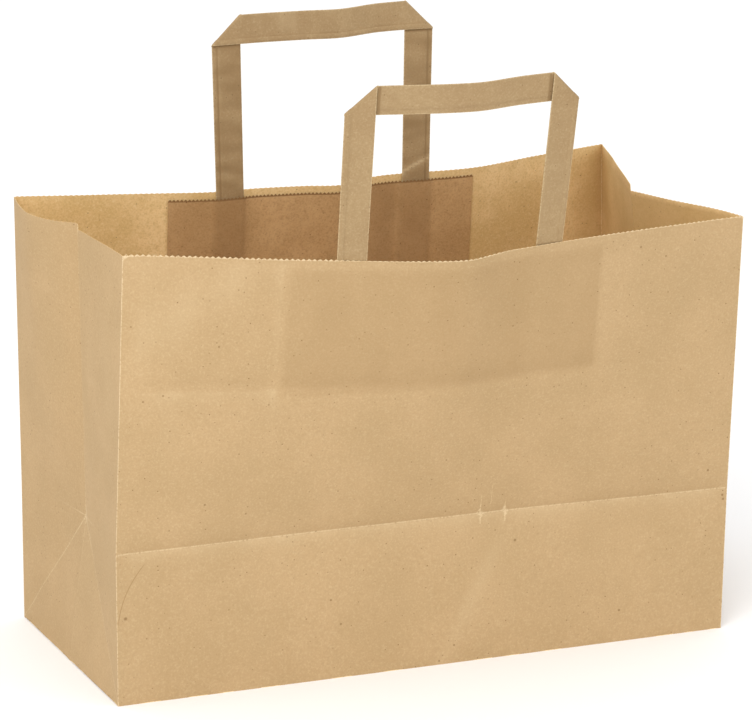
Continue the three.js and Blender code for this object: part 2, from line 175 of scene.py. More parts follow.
def on_wall(stretch, along, height):
    """Carries a place on the flat sheet to the bag's outer face."""
    share = along / stretch.length + 0.5
    start = Vector(base_corner[stretch.start])
    end = Vector(base_corner[stretch.end])
    place = start.lerp(end, share)
    if stretch.is_gusset:
        tucked = min(height, fold_height, half_depth - stretch.from_crease(along))
        side = "left" if place.x < 0 else "right"
        place.x -= math.copysign(tucked * gusset_tuck[side] / fold_height, place.x)
    bows = [Vector(fold_bow.get(fold, (0, 0))) for fold in (stretch.start, stretch.end)]
    bow = bows[0].lerp(bows[1], share)
    crease = crease_height(stretch, along)
    if height <= crease:
        place += bow * height / crease
        return Vector((place.x, place.y, height))
    mouth_start = start + Vector(mouth_shift[stretch.start])
    mouth_end = end + Vector(mouth_shift[stretch.end])
    chord = (mouth_end - mouth_start).normalized()
    outward = Vector((chord.y, -chord.x))
    mouth = mouth_start.lerp(mouth_end, share) + outward * smooth_curve(stretch.bulge, share)
    lean = mouth - place
    upper = stretch.cut - crease
    climb = (height - crease) / upper
    rise = math.sqrt(upper**2 - lean.length_squared)
    place += lean * climb + bow * (1 - climb)
    return Vector((place.x, place.y, crease + rise * climb))


def inward_at(places, height):
    """The level direction into the bag at the second of three places, long enough to keep a
    thickness at a fold. Each place is a stretch and a distance along it."""
    before, here, after = (on_wall(stretch, along, height) for stretch, along in places)
    sides = [Vector((one.y - two.y, two.x - one.x, 0)) for one, two in ((before, here), (here, after))]
    sides = [side.normalized() for side in sides if side.length > tiny]
    return sum(sides, Vector((0, 0, 0))) / (1 + sides[0].dot(sides[-1])) * (2 / len(sides))


def ridge(distance, width):
    """A pressed line: one on it, and sharply less beside it."""
    return math.exp(-abs(distance) / width)


def hump(distance, width):
    """A soft band: one along its middle, and next to nothing two widths away."""
    return math.exp(-((distance / width) ** 2))


def flanks(distance, width, blur):
    """Plus one just above a pressed line, minus one just below it, and nought farther off."""
    return math.tanh(distance / blur) * ridge(distance, width)


def buckle(length, height, size, seed):
    """A soft random wave between minus and plus one, with humps of about the size given."""
    return noise.noise(Vector((length / size[0], height / size[1], seed)))


# The bag's sheet itself, with its own buckles and pressed lines. It is glued up a lap on the rear
# panel, folded in at the foot to a block bottom of three plies, and cut at the mouth by a toothed
# knife. It was packed flat, so its folds and the diagonals of its gussets stay as lines.
ply_gap = 0.00003
fold_radius = 0.0008
seam_lap = 0.020
seam_setback = 0.003
flap_reach = half_depth + 0.012
# A ply that lies on others is lifted by them, over this much of the wall and of the flap
lift_height = 0.01
lift_reach = 0.003
wall_cells = 28
flap_order = {"front": 0, "rear": 1}
handle_spacing = {"front": 0.117, "rear": 0.114}
handle_shift = {"front": -0.0008, "rear": 0.0022}
patch_width = 0.185
patch_height = 0.075
patch_drop = 0.006
# Plies, pressed lines and buckles run out over these distances from a corner
corner_ramp = 0.004
press_ramp = 0.006
buckle_ramp = 0.03
# The buckles of the sheet: how deep, how long and high, and what is added to the wall's seed
seeds = {"front": 0, "right_front": 11, "right_rear": 23, "rear": 37, "left_rear": 51, "left_front": 67}
buckles = [(0.0011, (0.075, 0.055), 0), (0.0005, (0.03, 0.042), 3)]
fine_buckle = (0.00012, (0.014, 0.011), 5)
# How deep the fold and the line that packing pressed are, and how much shallower that line ends
press_width = 0.004
fold_press = 0.0006
imprint_press = 0.0008
imprint_easing = 0.0004
# How dark each gusset's painted shade and each mark is, where the dark colour of the paper is one: the
# streaks are the paper's own uneven tone, the other marks are painted shade and light
gusset_painted_shade = {"right_front": 0.6, "right_rear": 0.5, "left_rear": 0.15, "left_front": -0.1}
patch_behind_painted_shade = 0.4
patch_blur = (-0.003, 0.002)
streak = 0.12
panel_streak = (0.016, 0.06)
gusset_streak = (0.02, 0.05)
streak_seed = 83
fold_shade = 0.36
fold_flanks = (0.007, 0.0004)
corner_shade = 0.45
imprint_shade = 0.4
imprint_fading = 0.28
imprint_flanks = (0.006, 0.002)
# Painted highlights in soft bands on the front panel, where it bends a little: how light, and how wide
slanting_painted_highlight = (0.24, 0.016)
upright_painted_highlight = (0.2, 0.004)
low_painted_highlight = (0.22, 0.007)


def imprint_height(along):
    """The height of a line that packing pressed across the front panel."""
    return 0.176 - 0.007 * fade(along, -half_width, half_width)


def relief(stretch, along, height):
    """How far the sheet stands out from its smooth form."""
    seed = seeds[stretch.name]
    to_fold = stretch.length / 2 - abs(along)
    free = fade(to_fold, 0, buckle_ramp) * fade(height, 0, buckle_ramp)
    out = 0.0
    for depth, size, change in buckles:
        out += free * depth * buckle(along, height, size, seed + change)
    depth, size, change = fine_buckle
    out += fade(to_fold, 0, corner_ramp) * depth * buckle(along, height, size, seed + change)
    if not stretch.is_gusset:
        from_crease = height - crease_height(stretch, along)
        out -= fold_press * ridge(from_crease, press_width) * fade(to_fold, 0, press_ramp)
    if stretch is front:
        depth = imprint_press - imprint_easing * fade(along, -0.06, 0.03)
        out -= depth * ridge(height - imprint_height(along), press_width) * free
    return out


def tone_and_painted_light(stretch, along, height):
    """How much darker than its face colour the paper looks, or lighter below nought. Besides the paper's own
    streaks it is painted shade: on the gussets, where a patch lies behind the sheet, near the rear panel's
    corner, and on the flank above a pressed line that was pushed in; and painted light on the flank below
    such a line and in soft bands on the front panel."""
    if stretch.is_gusset:
        # Painted shade on each gusset (lighter below nought), with the paper's own streaks
        return gusset_painted_shade[stretch.name] + streak * buckle(along, height, gusset_streak, streak_seed)
    to_fold = stretch.length / 2 - abs(along)
    # Painted shade where a patch lies behind the sheet, standing in for the light that the extra ply holds
    # back
    head = stretch.cut - patch_drop
    outside, inside = patch_blur
    behind = fade(patch_width / 2 - abs(along - handle_shift[stretch.name]), outside, inside)
    behind *= fade(height, head - patch_height + outside, head - patch_height + inside)
    behind *= 1 - fade(height, head - inside, head + inside)
    dark = patch_behind_painted_shade * behind + streak * buckle(along, height, panel_streak, streak_seed)
    from_crease = height - crease_height(stretch, along)
    # Painted shade on the flank above the fold, and painted light on the flank below it
    dark += fold_shade * flanks(from_crease, *fold_flanks) * fade(to_fold, 0, 0.01)
    # Painted shade inside the rear panel near its right corner
    if stretch is rear and along < 0:
        dark += corner_shade * (1 - fade(to_fold, 0.004, 0.035))
    if stretch is front:
        # Painted shade above the line that packing pressed, and painted light below it, fainter to the right
        strength = imprint_shade - imprint_fading * fade(along, -0.1, -0.085)
        strength *= fade(along, -half_width + 0.006, -half_width + 0.02)
        dark += strength * flanks(height - imprint_height(along), *imprint_flanks)
        # Painted highlights in soft bands across the front panel
        light, width = slanting_painted_highlight
        off_band = (height - 0.198) * 0.81 - (along + 0.177) * 0.58
        band = hump(off_band, width) * fade(to_fold, 0, 0.01) * fade(along, -0.075, -0.13)
        dark -= light * band
        light, width = upright_painted_highlight
        dark -= light * hump(along + 0.0965, width) * fade(height, 0.12, 0.16)
        light, width = low_painted_highlight
        off_band = along - 0.008 - height * 0.5
        dark -= light * hump(off_band, width) * (1 - fade(height, 0.06, fold_height))
    return dark


class Column:
    """One column of the sheet's lattice: a place round the bag, and how deep its ply lies."""

    def __init__(self, stretch, along, ply_depth=0.0):
        self.stretch, self.along, self.ply_depth = stretch, along, ply_depth
        self.to_fold = stretch.length / 2 - abs(along)
        order = flap_order.get(stretch.name, 2) * fade(self.to_fold, 0, corner_ramp)
        self.lift = order * (paper + ply_gap)


def places_along(stretch, cells):
    """Even steps along a stretch, with a closer one beside each fold, where the sheet turns."""
    half = stretch.length / 2
    steps = [-half + stretch.length * k / cells for k in range(cells + 1)]
    steps = sorted(steps + [-half + fold_radius, half - fold_radius])
    if stretch.starts_at_crease:
        steps[0] += crease_width / 2
    if stretch.ends_at_crease:
        steps[-1] -= crease_width / 2
    return steps


panel_cells = round(bag_width / tooth_pitch)
columns = []
for stretch in (rear, left_rear, left_front, front, right_front, right_rear):
    steps = places_along(stretch, wall_cells if stretch.is_gusset else panel_cells)
    if stretch is rear:
        sheet_start = -half_width + seam_setback
        steps = [sheet_start] + [step for step in steps if step > sheet_start + fold_radius / 2]
    if not stretch.ends_at_crease:
        steps = steps[:-1]
    columns += [Column(stretch, step) for step in steps]
columns.append(Column(rear, -half_width))
lap_cells = round(seam_lap / tooth_pitch)
for k in range(1, lap_cells + 1):
    columns.append(Column(rear, -half_width + seam_lap * k / lap_cells, paper + ply_gap))

upper_cells = round((front_height - tooth_depth - fold_height) / fold_height * wall_cells)
upper_step = (front_height - tooth_depth - fold_height) / upper_cells
row_heights = [fold_height * k / wall_cells for k in range(wall_cells + 1)]
row_heights += [fold_height + upper_step * k for k in range(1, upper_cells)]
row_heights = sorted(row_heights + [fold_height - fold_radius, fold_height + fold_radius])


class Paper:
    """Collects the points and faces of a paper piece, with what its material and teeth ask for:
    how far a point is from a pressed line, how rubbed that line is, how dark the paper looks,
    whether the knife cut it, and which way the teeth point there."""

    def __init__(self):
        self.points, self.faces = [], []
        self.line, self.rubbed, self.dark, self.cut, self.climb = [], [], [], [], []

    def add(self, point, line=1.0, rubbed=0.0, dark=0.0, cut=False, climb=(0, 0, 1)):
        self.points.append(point)
        self.line.append(line)
        self.rubbed.append(rubbed)
        self.dark.append(dark)
        self.cut.append(cut)
        self.climb.append(climb)
        return len(self.points) - 1

    def strip(self, lower, upper):
        """Joins two rows of points."""
        for k in range(len(lower) - 1):
            self.faces.append((lower[k], lower[k + 1], upper[k + 1], upper[k]))

    def piece(self, name, materials):
        mesh = bpy.data.meshes.new(name)
        mesh.from_pydata(self.points, [], self.faces)
        for attribute, kind, values in (
            ("line", "FLOAT", self.line),
            ("rubbed", "FLOAT", self.rubbed),
            ("dark", "FLOAT", self.dark),
            ("cut", "BOOLEAN", self.cut),
        ):
            mesh.attributes.new(attribute, kind, "POINT").data.foreach_set("value", values)
        flattened = [part for vector in self.climb for part in vector]
        mesh.attributes.new("climb", "FLOAT_VECTOR", "POINT").data.foreach_set("vector", flattened)
        for material in materials:
            mesh.materials.append(material)
        made = bpy.data.objects.new(name, mesh)
        bpy.context.scene.collection.objects.link(made)
        return made


# Short upright cracks in the paper: how far along, from what height and to what height
cracks = {
    "front": [(0.0301, 0.0780, 0.0985), (0.0361, 0.0895, 0.1035), (0.0455, 0.0775, 0.0910)],
    "left_front": [(-0.0395, 0.079, 0.09)],
}
# How light the lines are rubbed, where the light colour of the paper is one
crack_light = 0.65
gusset_crack_light = 0.3
corner_light = 0.8
fold_light = 0.5
meeting_size = 0.012


def lines_at(stretch, along, height):
    """Distance to the nearest pressed line, and how light that line is rubbed: on a gusset, lightest
    where its lines meet."""
    to_fold = abs(height - crease_height(stretch, along))
    for place, foot, head in cracks.get(stretch.name, []):
        if abs(along - place) < tooth_pitch / 2 and foot <= height <= head:
            return 0.0, gusset_crack_light if stretch.is_gusset else crack_light
    if not stretch.is_gusset:
        return min((stretch.length / 2 - abs(along), corner_light), (to_fold, fold_light))
    from_crease = stretch.from_crease(along)
    meeting = math.exp(-math.hypot(from_crease, to_fold) / meeting_size)
    lines = [
        (from_crease, 0.15 + 0.6 * meeting),
        (half_depth - from_crease, corner_light),
        (to_fold, 0.6 * meeting),
    ]
    if height < fold_height:
        lines.append((abs(height - half_depth + from_crease) / math.sqrt(2), 0.3 + 0.4 * meeting))
    return min(lines)


sheet = Paper()
lattice = []
for index, column in enumerate(columns):
    neighbours = [columns[max(index - 1, 0)], column, columns[min(index + 1, len(columns) - 1)]]
    places = [(one.stretch, one.along) for one in neighbours]
    mouth_row = column.stretch.cut - tooth_depth
    bite = worn_bite
    if column.stretch is front:
        bite = smooth_curve(front_bite, column.along / bag_width + 0.5)
    stack = []
    crease = crease_height(column.stretch, column.along)
    for level in row_heights + [mouth_row]:
        height = level * crease / fold_height
        if level > fold_height:
            height = mouth_row - (mouth_row - level) * (mouth_row - crease) / (mouth_row - fold_height)
        inward = inward_at(places, height)
        depth = column.ply_depth - relief(column.stretch, column.along, height)
        point = on_wall(column.stretch, column.along, height) + inward * depth
        point.z += column.lift * (1 - fade(height, 0, lift_height))
        line, rubbed = lines_at(column.stretch, column.along, height)
        if height == mouth_row and column.stretch is front:
            line, rubbed = 0.0, cut_light
        above = on_wall(column.stretch, column.along, height + tooth_depth)
        climb = (above - on_wall(column.stretch, column.along, height)) * bite
        dark = tone_and_painted_light(column.stretch, column.along, height)
        stack.append(sheet.add(point, line, rubbed, dark, height == mouth_row, climb))
    lattice.append(stack)

for index in range(len(columns) - 1):
    left, right = lattice[index], lattice[index + 1]
    stretch = columns[index].stretch
    if not stretch.is_gusset:
        stretch = columns[index + 1].stretch
    for row in range(len(left) - 1):
        corners = (left[row], right[row], right[row + 1], left[row + 1])
        if stretch.is_gusset and row < wall_cells + 1:
            split = ((0, 1, 2), (0, 2, 3)) if stretch.ends_at_crease else ((0, 1, 3), (1, 2, 3))
            sheet.faces += [tuple(corners[k] for k in triangle) for triangle in split]
        else:
            sheet.faces.append(corners)


flap_light = 0.6
wall_clearance = 2.5 * paper


def flap(chosen):
    """Folds one side of the base in under the bag, as far as the flap reaches. The long flaps
    narrow at 45 degrees from the corners, and the short ones keep clear of the long walls."""
    side_of_base = chosen[len(chosen) // 2].stretch
    ply_height = flap_order.get(side_of_base.name, 2) * (paper + ply_gap)
    reaches = [0, fold_radius] + [flap_reach * k / wall_cells for k in range(1, wall_cells + 1)]
    above = None
    for reach in reaches:
        row = []
        for column in chosen:
            corner = on_wall(column.stretch, column.along, 0)
            if side_of_base.is_gusset:
                side = half_depth - min(reach, wall_clearance)
                x = math.copysign(half_width - reach, corner.x)
                y = min(max(corner.y, -side), side)
            else:
                side = half_width - reach
                x = min(max(corner.x, -side), side)
                y = math.copysign(1, corner.y) * (half_depth - reach)
            z = max(column.lift, ply_height * fade(reach, 0, lift_reach)) if reach else column.lift
            row.append(sheet.add((x, y, z), line=min(reach, flap_reach - reach), rubbed=flap_light))
        if above:
            sheet.strip(row, above)
        above = row


wound = columns[:-lap_cells]
corners = [0] + [
    k for k in range(1, len(wound))
    if wound[k].to_fold < tiny and not wound[k].stretch.starts_at_crease
]
for first, last in zip(corners, corners[1:]):
    flap(wound[first:last + 1])


def add_node(tree, kind, inputs=None, **settings):
    """Adds a node with its settings, and sets or links its inputs."""
    node = tree.nodes.new(kind)
    for name, value in settings.items():
        setattr(node, name, value)
    for key, value in (inputs or {}).items():
        if isinstance(value, bpy.types.NodeSocket):
            tree.links.new(value, node.inputs[key])
        else:
            node.inputs[key].default_value = value
    return node


def calculate(tree, operation, *values):
    """Adds a node of arithmetic on numbers, and gives its result."""
    return add_node(tree, "ShaderNodeMath", dict(enumerate(values)), operation=operation).outputs[0]


def combine(tree, operation, result, *values, **named):
    """Adds a node of arithmetic on vectors, and gives one of its results, Vector or Value."""
    inputs = dict(enumerate(values)) | named
    return add_node(tree, "ShaderNodeVectorMath", inputs, operation=operation).outputs[result]


# An edge shorter than this share of the pitch gets no tooth
least_tooth = 0.6


def knife_teeth():
    """Sets one tooth on each cut edge of a sheet, welds it on, and dresses the sheet."""
    tree = bpy.data.node_groups.new("knife_teeth", "GeometryNodeTree")
    for name, kind in (
        ("Sheet", "Geometry"), ("Tooth pitch", "Float"), ("Rubbed", "Float"), ("Dark", "Float"),
        ("Weld distance", "Float"), ("Paper", "Material"),
    ):
        tree.interface.new_socket(name, in_out="INPUT", socket_type="NodeSocket" + kind)
    tree.interface.new_socket("Sheet", in_out="OUTPUT", socket_type="NodeSocketGeometry")
    given = add_node(tree, "NodeGroupInput").outputs

    ends = add_node(tree, "GeometryNodeInputMeshEdgeVertices").outputs
    climb, cut = (
        add_node(tree, "GeometryNodeInputNamedAttribute", {"Name": key}, data_type=kind).outputs[0]
        for key, kind in (("climb", "FLOAT_VECTOR"), ("cut", "BOOLEAN"))
    )
    facing = add_node(tree, "GeometryNodeInputNormal").outputs[0]
    along = combine(tree, "SUBTRACT", "Vector", ends["Position 2"], ends["Position 1"])
    across = combine(tree, "CROSS_PRODUCT", "Vector", along, climb)
    same_way = combine(tree, "DOT_PRODUCT", "Value", across, facing)
    run = combine(tree, "SCALE", "Vector", along, Scale=calculate(tree, "SIGN", same_way))
    width = combine(tree, "LENGTH", "Value", along)
    share = calculate(tree, "DIVIDE", width, given["Tooth pitch"])
    wide = calculate(tree, "GREATER_THAN", share, least_tooth)
    toothed = add_node(tree, "FunctionNodeBooleanMath", {0: cut, 1: wide}, operation="AND")
    turn = add_node(
        tree, "FunctionNodeAxesToRotation", {"Primary Axis": run, "Secondary Axis": climb},
        primary_axis="X", secondary_axis="Z",
    )
    depth = combine(tree, "LENGTH", "Value", climb)
    scale = add_node(tree, "ShaderNodeCombineXYZ", {"X": width, "Y": 1.0, "Z": depth})
    kept = add_node(tree, "GeometryNodeCaptureAttribute", {"Geometry": given["Sheet"]}, domain="EDGE")
    kept.capture_items.new("ROTATION", "Turn")
    kept.capture_items.new("VECTOR", "Scale")
    tree.links.new(turn.outputs[0], kept.inputs["Turn"])
    tree.links.new(scale.outputs[0], kept.inputs["Scale"])
    roots = add_node(
        tree, "GeometryNodeMeshToPoints",
        {"Mesh": kept.outputs["Geometry"], "Selection": toothed.outputs[0]}, mode="EDGES",
    )

    # A tooth is a triangle of one unit across and one high, standing on its edge
    ring = add_node(tree, "GeometryNodeMeshCircle", {"Vertices": 3, "Radius": 1.0}, fill_type="NGON")
    shaded = ring.outputs[0]
    for key in ("Rubbed", "Dark"):
        shaded = add_node(
            tree, "GeometryNodeStoreNamedAttribute",
            {"Geometry": shaded, "Name": key.lower(), "Value": given[key]}, data_type="FLOAT", domain="POINT",
        ).outputs[0]
    point_up = add_node(
        tree, "GeometryNodeTransform", {"Geometry": shaded, "Rotation": (0, 0, math.pi / 2)},
    )
    tooth = add_node(
        tree, "GeometryNodeTransform",
        {"Geometry": point_up.outputs[0], "Rotation": (math.pi / 2, 0, 0),
         "Translation": (0, 0, 1 / 3), "Scale": (1 / math.sqrt(3), 2 / 3, 1)},
    )
    teeth = add_node(
        tree, "GeometryNodeInstanceOnPoints",
        {"Points": roots.outputs[0], "Instance": tooth.outputs[0],
         "Rotation": kept.outputs["Turn"], "Scale": kept.outputs["Scale"]},
    )
    loose = add_node(tree, "GeometryNodeRealizeInstances", {"Geometry": teeth.outputs[0]})
    joined = add_node(tree, "GeometryNodeJoinGeometry", {"Geometry": kept.outputs["Geometry"]})
    tree.links.new(loose.outputs[0], joined.inputs["Geometry"])
    welded = add_node(
        tree, "GeometryNodeMergeByDistance",
        {"Geometry": joined.outputs[0], "Distance": given["Weld distance"]},
    )
    dressed = add_node(
        tree, "GeometryNodeSetMaterial", {"Geometry": welded.outputs[0], "Material": given["Paper"]},
    )
    add_node(tree, "NodeGroupOutput", {"Sheet": dressed.outputs[0]})
    return tree


def give_inputs(modifier, values):
    """Sets a modifier's inputs by the names that its tree gives them."""
    for item in modifier.node_group.interface.items_tree:
        if item.in_out == "INPUT" and item.name in values:
            modifier[item.identifier] = values[item.name]


def freeze(piece, sharp_angle=math.radians(60)):
    """Turns a piece's modifiers into its plain mesh, smooth but for its cut edges."""
    evaluated = piece.evaluated_get(bpy.context.evaluated_depsgraph_get())
    mesh = bpy.data.meshes.new_from_object(evaluated)
    piece.modifiers.clear()
    piece.data = mesh
    mesh.shade_smooth()
    mesh.set_sharp_from_angle(angle=sharp_angle)


weld_distance = 1e-5


def cut_out(piece, pitch, rubbed, dark, thickness):
    """Gives a sheet its teeth and its thickness."""
    teeth = piece.modifiers.new("teeth", "NODES")
    teeth.node_group = toothed_edge
    give_inputs(teeth, {
        "Tooth pitch": pitch, "Rubbed": rubbed, "Dark": dark, "Weld distance": weld_distance,
        "Paper": piece.data.materials[0],
    })
    ply = piece.modifiers.new("ply", "SOLIDIFY")
    ply.thickness = thickness
    ply.offset = -1
    ply.use_even_offset = False
    ply.material_offset = len(piece.data.materials) - 2
    ply.material_offset_rim = len(piece.data.materials) - 1
    freeze(piece)


def srgb(code):
    """A colour written as a web code, in the linear values that the shader takes."""
    parts = [int(code[k:k + 2], 16) / 255 for k in (1, 3, 5)]
    return [part / 12.92 if part <= 0.04045 else ((part + 0.055) / 1.055) ** 2.4 for part in parts] + [1.0]


# The sizes of what shows in kraft paper, and how far apart its flecks are
grain_size = 0.0011
bunch_size = 0.004
cloud_size = 0.045
fleck_spacing = 0.0034
# A pressed line is rubbed this far to each side, fully and then not at all
rubbed_width = 0.0001
unrubbed_width = 0.0006


def kraft(name, face, cloud, light, dark, fleck, grain_contrast=1.0, specks=(), scratch=None):
    """Unbleached kraft paper off a paper machine: matt, softly clouded where its fibres bunch, with
    darker flecks of bark, and rubbed lighter along the lines where it was pressed. Its fibres are
    under 0.05 mm thick, too fine to show, so the grain is drawn about a millimetre coarse. Specks
    are pairs of a place and a radius, and a scratch is an arc of a circle on the front panel."""
    material = bpy.data.materials.new(name)
    material.use_nodes = True
    tree = material.node_tree
    tree.nodes.clear()
    place = add_node(tree, "ShaderNodeTexCoord").outputs["Object"]

    def cloudiness(size, detail):
        return add_node(
            tree, "ShaderNodeTexNoise",
            {"Vector": place, "Scale": 1 / size, "Detail": detail, "Roughness": 0.6},
        ).outputs["Fac"]

    def ramp(value, low, high):
        return add_node(
            tree, "ShaderNodeMapRange",
            {"Value": value, "From Min": low, "From Max": high}, interpolation_type="SMOOTHSTEP",
        ).outputs["Result"]

    def times(one, two):
        return calculate(tree, "MULTIPLY", one, two)

    def tint(below, above, amount):
        return add_node(
            tree, "ShaderNodeMix", {"Factor": amount, "A": below, "B": above}, data_type="RGBA",
        ).outputs["Result"]

    def attribute(key):
        return add_node(tree, "ShaderNodeAttribute", attribute_name=key).outputs["Fac"]

    grain = cloudiness(grain_size, 3)
    bunches = cloudiness(bunch_size, 2)
    clouds = cloudiness(cloud_size, 3)
    bark = add_node(
        tree, "ShaderNodeTexVoronoi", {"Vector": place, "Scale": 1 / fleck_spacing, "Randomness": 1.0},
    ).outputs
    near_fleck = ramp(bark["Distance"], 0.14, 0.07)
    is_dark = ramp(add_node(tree, "ShaderNodeSeparateXYZ", {0: bark["Color"]}).outputs["X"], 0.3, 1.0)
    flecked = times(near_fleck, times(is_dark, 0.8))
    for spot, radius in specks:
        away = combine(tree, "DISTANCE", "Value", place, spot)
        flecked = calculate(tree, "MAXIMUM", flecked, times(ramp(away, radius, radius * 0.3), 0.65))
    on_line = ramp(attribute("line"), unrubbed_width, rubbed_width)
    worn = times(attribute("rubbed"), times(on_line, ramp(grain, 0.3, 0.55)))

    colour = tint(srgb(cloud), srgb(face), ramp(clouds, 0.3, 0.7))
    colour = tint(colour, srgb(cloud), times(ramp(bunches, 0.45, 0.7), 0.5))
    colour = tint(colour, srgb(dark), times(ramp(grain, 0.52, 0.28), 0.45 * grain_contrast))
    colour = tint(colour, srgb(light), times(ramp(grain, 0.5, 0.72), 0.35 * grain_contrast))
    # The dark attribute carries the paper's own tone together with painted shade, and painted light below
    # nought
    colour = tint(colour, srgb(dark), ramp(attribute("dark"), 0.0, 1.0))
    colour = tint(colour, srgb(light), times(ramp(attribute("dark"), 0.0, -1.0), 0.7))
    colour = tint(colour, srgb(fleck), flecked)
    if scratch:
        centre_x, centre_z, radius, foot, head = scratch
        at = add_node(tree, "ShaderNodeSeparateXYZ", {0: place}).outputs
        level = add_node(tree, "ShaderNodeCombineXYZ", {"X": at["X"], "Z": at["Z"]}).outputs[0]
        away = combine(tree, "DISTANCE", "Value", level, (centre_x, 0, centre_z))
        off = calculate(tree, "ABSOLUTE", calculate(tree, "SUBTRACT", away, radius))
        within = times(ramp(at["Z"], foot, foot + 0.006), ramp(at["Z"], head, head - 0.004))
        within = times(within, times(ramp(at["Y"], -0.07, -0.08), ramp(at["X"], -0.1, -0.12)))
        colour = tint(colour, srgb(dark), times(ramp(off, 0.0004, 0.0001), within))
    colour = tint(colour, srgb(light), worn)

    hills = calculate(tree, "ADD", bunches, grain)
    bump = add_node(tree, "ShaderNodeBump", {"Height": hills, "Strength": 0.3, "Distance": 0.0003})
    surface = add_node(
        tree, "ShaderNodeBsdfPrincipled",
        {"Base Color": colour, "Roughness": 0.85, "IOR": 1.5, "Specular IOR Level": 0.3,
         "Normal": bump.outputs[0]},
    )
    add_node(tree, "ShaderNodeOutputMaterial", {"Surface": surface.outputs[0]})
    return material


toothed_edge = knife_teeth()
# The larger flecks of bark: where each lies, and its radius
bark_specks = [
    ((-0.1535, -0.0857, 0.1721), 0.0008), ((-0.1640, -0.0832, 0.1692), 0.0008),
    ((-0.1251, -0.0953, 0.1987), 0.0008), ((-0.1694, -0.0810, 0.2105), 0.0007),
    ((-0.1763, -0.0128, 0.1436), 0.0009), ((-0.0975, -0.0966, 0.1641), 0.0007),
    ((-0.1305, -0.0857, 0.1089), 0.0009), ((-0.1070, -0.0856, 0.1011), 0.0009),
    ((-0.0641, -0.0838, 0.0883), 0.0008), ((-0.0570, -0.0832, 0.0455), 0.0009),
    ((-0.0511, -0.0831, 0.0310), 0.0009), ((0.0073, -0.0830, 0.0022), 0.0008),
    ((0.0162, -0.0831, 0.0104), 0.0009), ((0.0525, -0.0833, 0.0672), 0.0011),
    ((0.1169, -0.0826, 0.0183), 0.0010), ((0.1695, -0.0851, 0.0952), 0.0010),
    ((0.1127, -0.1134, 0.2357), 0.0009), ((0.1288, -0.1113, 0.2287), 0.0008),
    ((0.0377, -0.1122, 0.1984), 0.0007), ((-0.1755, -0.0830, 0.0492), 0.0014),
    ((0.1798, -0.0830, 0.0790), 0.0010), ((0.1803, -0.0830, 0.0765), 0.0010),
]
bag_paper = kraft(
    "brown_kraft_paper", "#b99b72", "#b2956c", "#dac39c", "#a1835a", "#74552e", 0.55,
    bark_specks, (-0.1234, 0.0395, 0.0566, 0.044, 0.080),
)
# The inner face is a lighter copy of the same kraft: painted light, standing in for the light that shines
# through the sheet into the bag
inner_face_painted_light = kraft("brown_kraft_inner_face_painted_light", "#eece98", "#d6b57b", "#f2deb4", "#b8955f", "#86643a", 0.9)
cut_edge = kraft("cut_kraft_edge", "#dfcba8", "#d6c09a", "#e8d9bc", "#d6c09a", "#bd9e70")
bag = sheet.piece("bag_sheet", [bag_paper, inner_face_painted_light, cut_edge])
cut_out(bag, tooth_pitch, cut_light, 0.0, paper)
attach(bag, "root")
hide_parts("bag_body")


# The patches: a kraft label inside each panel, glued over the legs of its handle, and darker than the wall's
# inner face: painted shade for the light that its extra ply holds back. Its two long edges are knife-cut in
# finer teeth, and it lifts where it passes over a leg.
handle_width = 0.0165
handle_thickness = 0.0009
leg_tail = 0.067
patch_ramp = 0.003
patch_tooth_pitch = 0.0022
patch_tooth_depth = 0.0012
patch_row = 0.0025
patch_ripple = 0.00008
ripple_size = (0.012, 0.009)
ripple_seed = 71
# The patch's cut edges and teeth are painted dark, a painted shadow of the glue gap under them, over the
# width below
cut_shade = 1.0
edge_shade = 0.0007
leg_shade = 0.45
glue_gap = 0.0003
side_step = 0.001
# Painted shade across a patch's width, where the panel bends
patch_shade = [
    (0, 0.02), (0.09, 0.19), (0.2, 0.12), (0.27, 0.45), (0.31, 0.43), (0.48, 0.06), (0.62, 0), (0.72, 0.1),
    (0.87, 0.28), (1, 0.28),
]
patch_paper = kraft("dark_kraft_patch", "#cca676", "#b99465", "#d5b487", "#8a6842", "#684827", 0.8)


def legs_of(stretch):
    """How far along a panel the middles of its handle's two legs are."""
    return [handle_shift[stretch.name] + side * handle_spacing[stretch.name] / 2 for side in (-1, 1)]


def inward_on(stretch, along, height):
    """The level direction into the bag at a place on a panel, away from its corners."""
    return inward_at([(stretch, along + side * side_step) for side in (-1, 0, 1)], height)


def on_panel(stretch, along, height, depth):
    """A place inside a panel by its depth from the outer face, and the direction into the bag."""
    inward = inward_on(stretch, along, height)
    return on_wall(stretch, along, height) + inward * (depth - relief(stretch, along, height)), inward


